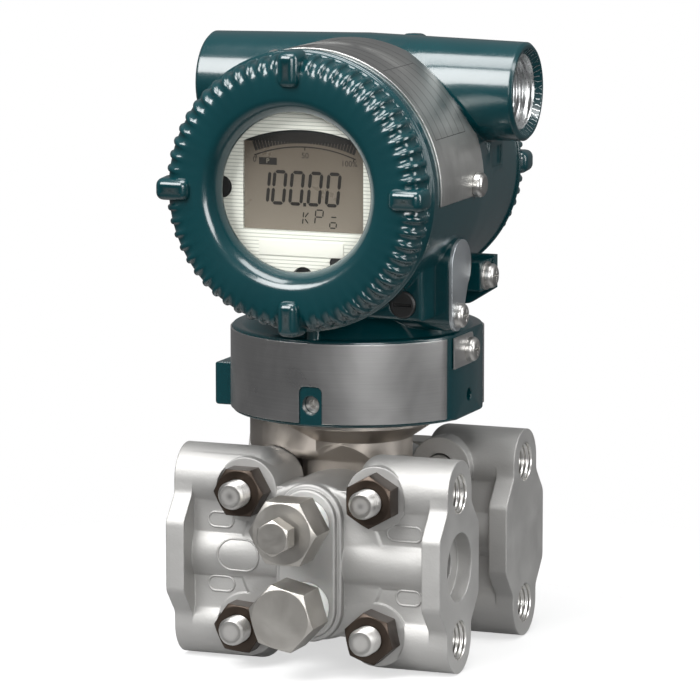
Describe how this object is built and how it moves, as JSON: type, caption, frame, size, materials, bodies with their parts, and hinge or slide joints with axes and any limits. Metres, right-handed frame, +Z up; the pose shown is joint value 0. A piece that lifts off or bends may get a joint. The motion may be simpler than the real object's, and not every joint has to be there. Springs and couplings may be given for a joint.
{
  "type": "differential pressure transmitter",
  "caption": "Differential pressure transmitter: a round two-compartment housing with a dial window and conduit tube on a capsule clamped between two flanged process covers.",
  "frame": {"origin": "centre of the base, on the lowest faces of the process covers, under the neck's axis", "axes": "+Z up the neck, +X along the conduit tube, the dial faces -Y"},
  "size_m": [0.0954, 0.1278, 0.1748],
  "materials": {
    "cast_steel": "bead-blasted cast stainless steel, satin",
    "machined_steel": "machined and polished stainless steel",
    "stud_steel": "bright rolled stainless steel",
    "nut_steel": "dark brown oxidised alloy steel",
    "enamel": "gloss polyurethane coat on die-cast aluminium, dark teal green",
    "sheet_steel": "brushed stainless steel sheet",
    "screw_steel": "bright stainless steel",
    "seal_rubber": "black nitrile rubber",
    "tape": "white thread tape",
    "window": "clear toughened glass",
    "dial": "off-white printed plastic",
    "display": "grey-brown liquid crystal panel under clear plastic",
    "black_plastic": "black moulded plastic",
    "board": "green glass-fibre laminate",
    "spacer_brass": "plain turned brass"
  },
  "bodies": {
    "process_body": {"front_process_cover": "cast_steel", "rear_process_cover": "cast_steel", "capsule_body": "machined_steel", "isolating_diaphragms": "stud_steel", "cover_gaskets": "tape", "neck_seal": "seal_rubber", "flange_bolts": "stud_steel", "flange_nuts": "nut_steel", "front_vent_plug": "machined_steel", "front_drain_plug": "machined_steel", "rear_vent_plug": "machined_steel", "rear_drain_plug": "machined_steel", "thread_tape": "tape"},
    "housing": {"amplifier_housing": "enamel", "tag_band": "sheet_steel", "tag_band_screw": "screw_steel", "rotation_lock_screws": "screw_steel", "dial_plate": "dial", "lcd_panel": "display", "display_case": "black_plastic", "display_screws": "black_plastic", "main_board": "board", "display_spacers": "spacer_brass", "terminal_block": "black_plastic", "terminal_screws": "screw_steel", "nameplate": "sheet_steel", "nameplate_screws": "screw_steel", "guard_screw": "screw_steel", "earth_washer": "screw_steel", "earth_screw": "screw_steel"},
    "front_seal_ring": {"front_cover_seal": "seal_rubber"},
    "front_cover_assembly": {"front_cover": "enamel", "window_gasket": "seal_rubber", "window_glass": "window", "window_retainer": "stud_steel"},
    "rear_seal_ring": {"rear_cover_seal": "seal_rubber"},
    "rear_cover_assembly": {"rear_cover": "enamel"},
    "zero_adjuster": {"zero_screw": "black_plastic"},
    "zero_guard": {"zero_guard_plate": "sheet_steel"},
    "front_vent": {"front_vent_screw": "machined_steel"},
    "rear_vent": {"rear_vent_screw": "machined_steel"},
    "button": {"range_button": "black_plastic"}
  },
  "joints": [
    {"name": "housing_turn", "type": "hinge", "parent": "process_body", "child": "housing", "pos_m": [0, 0, 0.08], "axis": [0, 0, 1], "range_deg": [-180, 180]},
    {"name": "front_cover_travel", "type": "slide", "parent": "housing", "child": "front_seal_ring", "axis": [0, -1, 0], "range_m": [0, 0.0078]},
    {"name": "front_cover_turn", "type": "hinge", "parent": "front_seal_ring", "child": "front_cover_assembly", "pos_m": [0, -0.045, 0.1351], "axis": [0, -1, 0], "range_deg": [0, 1872]},
    {"name": "rear_cover_travel", "type": "slide", "parent": "housing", "child": "rear_seal_ring", "axis": [0, 1, 0], "range_m": [0, 0.0078]},
    {"name": "rear_cover_turn", "type": "hinge", "parent": "rear_seal_ring", "child": "rear_cover_assembly", "pos_m": [0, 0.04, 0.1351], "axis": [0, 1, 0], "range_deg": [0, 1872]},
    {"name": "zero_adjust", "type": "hinge", "parent": "housing", "child": "zero_adjuster", "pos_m": [0.0259, -0.03, 0.1036], "axis": [0, -1, 0], "continuous": true},
    {"name": "guard_swing", "type": "hinge", "parent": "housing", "child": "zero_guard", "pos_m": [0.0361, -0.0171, 0.0992], "axis": [1, 0, 0], "range_deg": [0, 100]},
    {"name": "front_vent_turn", "type": "hinge", "parent": "process_body", "child": "front_vent", "pos_m": [0, -0.055, 0.0419], "axis": [0, -1, 0], "range_deg": [0, 360]},
    {"name": "rear_vent_turn", "type": "hinge", "parent": "process_body", "child": "rear_vent", "pos_m": [0, 0.055, 0.0419], "axis": [0, 1, 0], "range_deg": [0, 360]},
    {"name": "button_press", "type": "slide", "parent": "housing", "child": "button", "axis": [0, 1, 0], "range_m": [0, 0.0008], "stiffness_N_per_m": 400}
  ],
  "couplings": [
    {"joint": "front_cover_travel", "follows": "front_cover_turn", "m_per_rad": 0.00023873},
    {"joint": "rear_cover_travel", "follows": "rear_cover_turn", "m_per_rad": 0.00023873}
  ]
}
